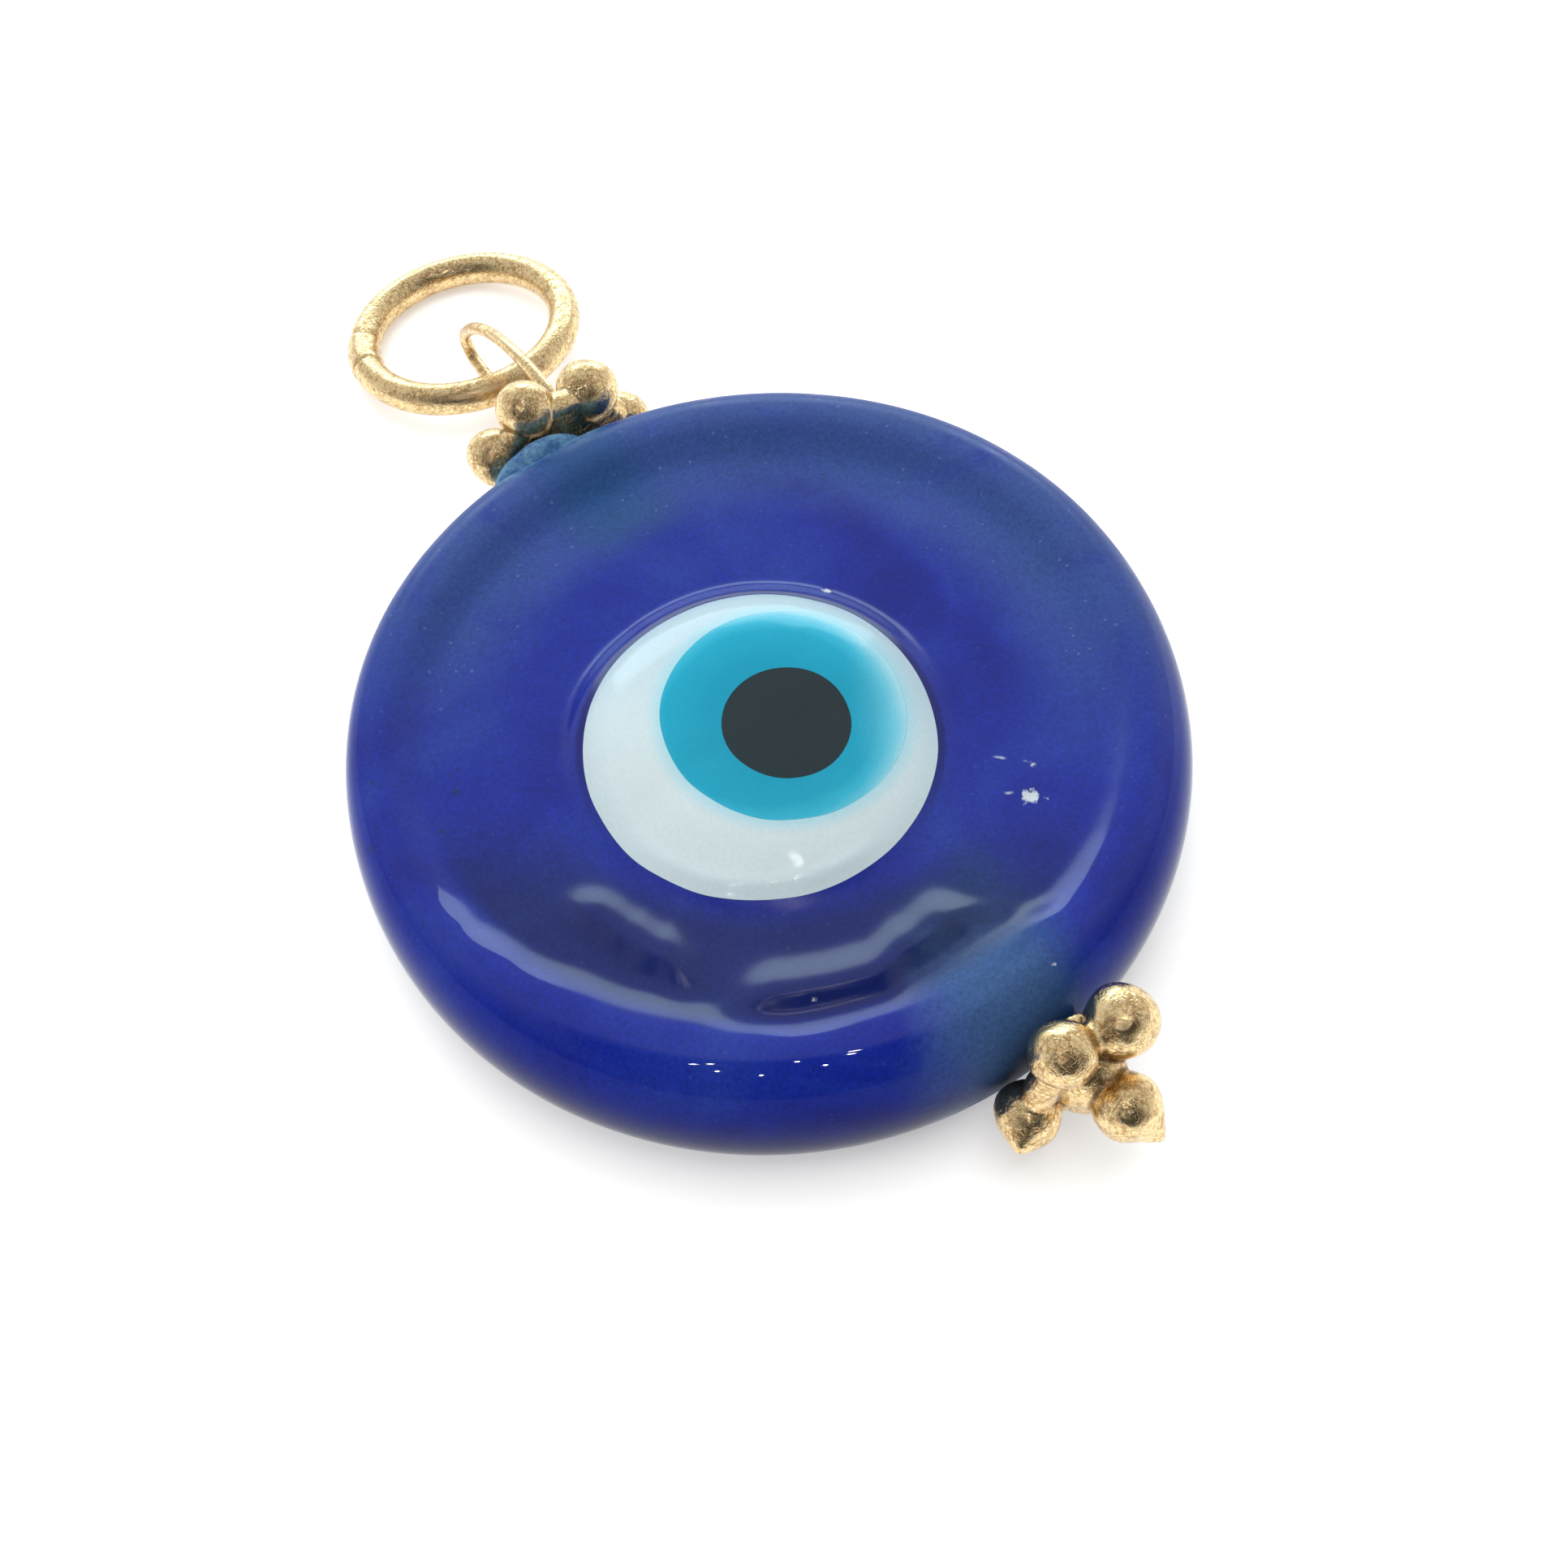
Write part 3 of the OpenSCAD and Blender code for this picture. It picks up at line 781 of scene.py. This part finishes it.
def meltTogether(bm, rounds, dents):
    # one skin over all the balls, smoothed so that the solder fills the creases, then dented
    mesh = bpy.data.meshes.new("melt")
    bm.to_mesh(mesh)
    bm.free()
    lump = bpy.data.objects.new("melt", mesh)
    scene.collection.objects.link(lump)
    remesh = lump.modifiers.new("skin", "REMESH")
    remesh.mode = "VOXEL"
    remesh.voxel_size = granules["voxel"]
    skin = bpy.data.meshes.new_from_object(lump.evaluated_get(bpy.context.evaluated_depsgraph_get()))
    bpy.data.objects.remove(lump)
    melted = bmesh.new()
    melted.from_mesh(skin)
    for _ in range(rounds):
        bmesh.ops.smooth_vert(melted, verts=melted.verts, factor=0.5,
                              use_axis_x=True, use_axis_y=True, use_axis_z=True)
    markCreases(melted)
    for dent in dents:
        roughen(melted, *dent)
    return melted


def markCreases(bm):
    # keeps how hollow the skin is at each point, for the grime that lies there
    bm.normal_update()
    layer = bm.verts.layers.float.new("crease")
    hollow = []
    for v in bm.verts:
        near = [edge.other_vert(v).co for edge in v.link_edges]
        middle = sum(near, Vector()) / len(near)
        hollow.append((middle - v.co).dot(v.normal) / granules["voxel"])
    for _ in range(granules["creaseRounds"]):
        bm.verts.index_update()
        hollow = [(hollow[v.index] + sum(hollow[edge.other_vert(v).index] for edge in v.link_edges))
                  / (1 + len(v.link_edges)) for v in bm.verts]
    for v, value in zip(bm.verts, hollow):
        v[layer] = min(max(value * granules["creaseGain"], 0.0), 1.0)


def makeCap():
    bm = bmesh.new()
    places = ballPlaces(cap)
    for at, radius in places:
        addBall(bm, at, radius)
    start, end = cap["plateFrom"], cap["plateFrom"] + cap["plate"]
    addRod(bm, (0, start, 0), (0, end, 0), cap["plateRadius"], cap["plateRadius"], 64)
    addRod(bm, (0, start, 0), (0, end + cap["plate"], 0), cap["hub"], cap["hub"] * 0.8, 48)
    low = Vector((0, cap["solderSink"], 0))
    for (a, _), (b, _) in zip(places, places[1:] + places[:1]):
        if (a - b).length < cap["solderReach"]:
            addRod(bm, a - low, b - low, cap["solder"], cap["solder"])
    melted = meltTogether(bm, cap["rounds"], cap["dents"])
    bmesh.ops.translate(melted, vec=(bore["x"], bore["seat"], bore["z"]), verts=melted.verts)
    return finishPiece(melted, "granuleCap", granuleGold, ["top_cap"], 180)


def addDrop(bm, at, radius, way, reach, tip):  # a ball drawn out to a blunt point
    way = Vector(way).normalized()
    addBall(bm, at, radius)
    addBall(bm, at + way * (reach - tip), tip)
    lean = math.asin((radius - tip) / (reach - tip))
    addRod(bm, at + way * radius * math.sin(lean), at + way * (reach - tip + tip * math.sin(lean)),
           radius * math.cos(lean), tip * math.cos(lean), 32)


def makeHead():
    bm = bmesh.new()
    places = ballPlaces(head)
    for at, radius in places[:3]:
        addBall(bm, at, radius)
    addDrop(bm, places[3][0], head["sideBall"], head["sideWay"], head["sideReach"], head["sideTip"])
    addDrop(bm, Vector(head["endAt"]), head["ball"], head["endWay"], head["endReach"], head["endTip"])
    addBall(bm, Vector((0, head["core"], 0)), head["core"])
    addRod(bm, (0, 0, 0), (0, head["plate"], 0), head["plateRadius"], head["plateRadius"], 64)
    for a, b in head["joins"]:
        addRod(bm, places[a][0], places[b][0], head["solder"], head["solder"])
    melted = meltTogether(bm, head["rounds"], head["dents"])
    bmesh.ops.scale(melted, vec=(1, -1, 1), verts=melted.verts)
    bmesh.ops.translate(melted, vec=(bore["x"], -bore["seat"], bore["z"]), verts=melted.verts)
    return melted


wire = {
    "radius": 0.22, "length": 8.0, "width": 3.1, "endRadius": 0.7, "droop": 23,
    "foot": (1.35, 14.58, 4.15), "bend": (0.9, 13.72, 3.5), "segments": 20,
    "start": -13.2, "bendBall": 1.04, "footBall": 1.25,
}


def makeWireEye():
    # a ring of wire carried round the four arcs of the oval, then laid in its upright plane
    bm = bmesh.new()
    endMiddle = wire["length"] / 2 - wire["endRadius"]
    half = wire["width"] / 2
    sideRadius = (endMiddle ** 2 + half ** 2 - wire["endRadius"] ** 2) / (2 * (half - wire["endRadius"]))
    sideMiddle = sideRadius - half
    turnAngle = math.atan2(sideMiddle, endMiddle)
    made = bmesh.ops.create_circle(bm, segments=wire["segments"], radius=wire["radius"])
    bmesh.ops.rotate(bm, verts=made["verts"], cent=(0, 0, 0), matrix=Matrix.Rotation(math.pi / 2, 3, "X"))
    bmesh.ops.translate(bm, verts=made["verts"], vec=(endMiddle + wire["endRadius"], 0, 0))
    bmesh.ops.rotate(bm, verts=made["verts"], cent=(endMiddle, 0, 0),
                     matrix=Matrix.Rotation(-turnAngle, 3, "Z"))
    front = list(bm.verts) + list(bm.edges)
    arcs = [((endMiddle, 0, 0), 2 * turnAngle, 16), ((0, -sideMiddle, 0), math.pi - 2 * turnAngle, 28),
            ((-endMiddle, 0, 0), 2 * turnAngle, 16), ((0, sideMiddle, 0), math.pi - 2 * turnAngle, 28)]
    for middle, sweep, count in arcs:
        swept = bmesh.ops.spin(bm, geom=front, cent=middle, axis=(0, 0, 1), angle=sweep, steps=count)
        front = [part for part in swept["geom_last"] if not isinstance(part, bmesh.types.BMFace)]
    bmesh.ops.rotate(bm, verts=bm.verts, cent=(0, 0, 0),
                     matrix=Matrix(((0, 0, 1), (1, 0, 0), (0, 1, 0))))
    droop = Matrix.Rotation(-math.radians(wire["droop"]), 3, "X")
    bmesh.ops.rotate(bm, verts=bm.verts, cent=(0, 0, 0), matrix=droop)
    middle = Vector(wire["foot"]) + droop @ Vector((0, wire["length"] / 2, 0))
    bmesh.ops.translate(bm, verts=bm.verts, vec=middle)
    bmesh.ops.remove_doubles(bm, verts=bm.verts, dist=0.005)
    return bm


def makePin():
    bm = makeHead()
    eyeForm = makeWireEye()
    start = (bore["x"], wire["start"], bore["z"])
    for low, high in ((start, wire["bend"]), (wire["bend"], wire["foot"])):
        addRod(eyeForm, low, high, wire["radius"], wire["radius"], wire["segments"])
    addBall(eyeForm, Vector(wire["bend"]), wire["radius"] * wire["bendBall"])
    addBall(eyeForm, Vector(wire["foot"]), wire["radius"] * wire["footBall"])
    addForm(bm, eyeForm)
    return finishPiece(bm, "headPin", granuleGold, ["head_pin"], 60)


ring = {
    "middle": (1.59, 22.62, 1.0846), "radius": 3.78, "wire": 0.57, "tilt": 7.825,
    # soldered seam in degrees round the ring: it swells, is cut in at both ends and is dented
    "seamAt": 160, "seamSpan": 25, "seamFade": 4, "swell": 0.07, "swellPast": 2,
    "cut": 0.11, "cutWidth": 1.8, "cutWander": 3, "cutWanderSize": 0.6, "cutGrain": 0.4, "cutGrime": 0.45,
    "dents": 0.05, "dentSize": 0.5, "dentsPast": 3, "wave": 0.014, "waveSize": 1.6,
    "least": 0.002,  # height over the surface it lies on
    "lineStretch": 0.22,  # the grain is read at this share of the way round, so that it draws out into lines
}


def makeJumpRing():
    bm = bmesh.new()
    made = bmesh.ops.create_circle(bm, segments=44, radius=ring["wire"])
    bmesh.ops.rotate(bm, verts=made["verts"], cent=(0, 0, 0), matrix=Matrix.Rotation(math.pi / 2, 3, "X"))
    bmesh.ops.translate(bm, verts=made["verts"], vec=(ring["radius"], 0, 0))
    bmesh.ops.spin(bm, geom=list(bm.verts) + list(bm.edges), cent=(0, 0, 0), axis=(0, 0, 1),
                   angle=2 * math.pi, steps=480, use_merge=True)
    along = bm.verts.layers.float_vector.new("wirePlace")
    crease = bm.verts.layers.float.new("crease")
    for v in bm.verts:
        angle = math.degrees(math.atan2(v.co.y, v.co.x))
        middle = Vector((math.cos(math.radians(angle)), math.sin(math.radians(angle)), 0)) * ring["radius"]
        off = (angle - ring["seamAt"] + 180) % 360 - 180
        half = ring["seamSpan"] / 2
        inside = half - abs(off)
        swell = ring["swell"] * blend((inside + ring["swellPast"]) / ring["seamFade"])
        dents = ring["dents"] * noise.noise(v.co / ring["dentSize"])
        dents *= blend((inside + ring["dentsPast"]) / ring["seamFade"])
        stray = ring["cutWander"] * noise.noise(v.co / ring["cutWanderSize"])
        edge = (stray - inside) / ring["cutWidth"]
        cut = math.exp(-edge ** 2) * (0.7 + 0.5 * noise.noise(v.co / ring["cutGrain"]))
        wave = ring["wave"] * noise.noise(v.co / ring["waveSize"])
        # the drawn wire's fine lines run round the ring, so its grain is read lengthwise
        around = (v.co - middle) / ring["wire"]
        outward = around.dot(middle.normalized())
        across = Vector((outward * ring["wire"], around.z * ring["wire"], 0))
        v[along] = across * mm + middle * ring["lineStretch"] * mm
        v[crease] = cut * ring["cutGrime"]
        v.co = middle + (v.co - middle) * (1 + swell - ring["cut"] * cut + wave + dents)
    bmesh.ops.rotate(bm, verts=bm.verts, cent=(0, 0, 0),
                     matrix=Matrix.Rotation(-math.radians(ring["tilt"]), 3, "X"))
    bmesh.ops.translate(bm, verts=bm.verts, vec=ring["middle"])
    for v in bm.verts:
        v.co.z = max(v.co.z, ring["least"])
    return finishPiece(bm, "jumpRing", wireGold, ["jump_ring"], 60)


makeCap()
makePin()
makeJumpRing()


# floor, light and world

paper = {"colour": "#f2f2f1", "rough": 0.9, "glow": 0.35, "halfSize": 1.5}
lights = [
    # name, place in mm, width and height in mm, power in watts, seen in reflections, colour
    ("windowFar", (131, 227, 104), 330, 100, 0.34, True, (0.72, 0.93, 1.0)),
    ("fillAbove", (40, 60, 500), 400, 400, 1.3, False, (1.0, 1.0, 1.0)),
    ("softLeft", (-260, 60, 160), 160, 160, 0.2, False, (1.0, 1.0, 1.0)),
]
ledPanel = {
    "way": (-0.35, -0.52, 0.78), "reach": 150, "width": 1.6, "height": 7.0, "power": 0.003,
    "colour": (1.0, 0.95, 0.95),
    # how far each small lamp stands to the right of and above the middle of the panel, in mm
    "lamps": [(-34, 29), (-27, 43), (-27, 0), (-8, -16), (1, 60), (16, 16), (16, 78), (18, 60)],
}
room = {
    # brightness of the room by height, from level to straight up, and its strength
    "sky": [(0.0, 0.4), (0.15, 0.42), (0.5, 0.38), (0.86, 0.34), (1.0, 0.3)], "strength": 2.0,
    # the viewer and what they hold darken the room behind the camera: way, cosines of the angles to it
    # at which the shade starts and is full, and the light that stays
    "shades": [((-0.5, -0.87, 0), 0.0, 0.5, 0.6), ((-0.35, -0.61, 0.71), 0.66, 0.86, 0.12)],
}

floorMesh = bpy.data.meshes.new("floor")
floorForm = bmesh.new()
bmesh.ops.create_grid(floorForm, x_segments=1, y_segments=1, size=paper["halfSize"])
floorForm.to_mesh(floorMesh)
floorForm.free()
floor = bpy.data.objects.new("floor", floorMesh)
scene.collection.objects.link(floor)
palePaper, _, paperShader, _ = newMaterial("palePaper")
paperShader.inputs["Base Color"].default_value = hexColour(paper["colour"])
paperShader.inputs["Roughness"].default_value = paper["rough"]
paperShader.inputs["Emission Color"].default_value = (1, 1, 1, 1)
paperShader.inputs["Emission Strength"].default_value = paper["glow"]
floorMesh.materials.append(palePaper)

panelMiddle = Vector(ledPanel["way"]).normalized() * ledPanel["reach"]
for index, (across, above) in enumerate(ledPanel["lamps"]):
    place = panelMiddle + right * across + up * above
    lights.append(("ledHead%d" % index, place, ledPanel["width"], ledPanel["height"], ledPanel["power"],
                   True, ledPanel["colour"]))
for name, place, width, height, power, shows, colour in lights:
    data = bpy.data.lights.new(name, "AREA")
    data.shape = "RECTANGLE"
    data.energy = power
    data.color = colour
    data.size = width * mm
    data.size_y = height * mm
    lamp = bpy.data.objects.new(name, data)
    scene.collection.objects.link(lamp)
    lamp.location = Vector(place) * mm
    lamp.rotation_euler = (-lamp.location).to_track_quat("-Z", "Y").to_euler()
    lamp.visible_glossy = shows

world = bpy.data.worlds.new("studio")
scene.world = world
world.use_nodes = True
worldTree = world.node_tree
way = addNode(worldTree, "ShaderNodeTexCoord").outputs["Generated"]
wayParts = addNode(worldTree, "ShaderNodeSeparateXYZ", {}, {"Vector": way})
sky = addRamp(worldTree, wayParts.outputs["Z"], room["sky"]).outputs["Color"]
for shadeWay, startsAt, fullAt, least in room["shades"]:
    towards = addNode(worldTree, "ShaderNodeVectorMath", {"operation": "DOT_PRODUCT", 1: shadeWay}, {0: way})
    dim = addNode(worldTree, "ShaderNodeMapRange",
                  {"interpolation_type": "SMOOTHSTEP", "From Min": startsAt, "From Max": fullAt,
                   "To Min": 1.0, "To Max": least}, {"Value": towards.outputs["Value"]})
    sky = addNode(worldTree, "ShaderNodeVectorMath", {"operation": "MULTIPLY"},
                  {0: sky, 1: dim.outputs["Result"]}).outputs["Vector"]
background = worldTree.nodes["Background"]
worldTree.links.new(sky, background.inputs["Color"])
background.inputs["Strength"].default_value = room["strength"]
scene.view_settings.view_transform = "Standard"
print("stage lit")
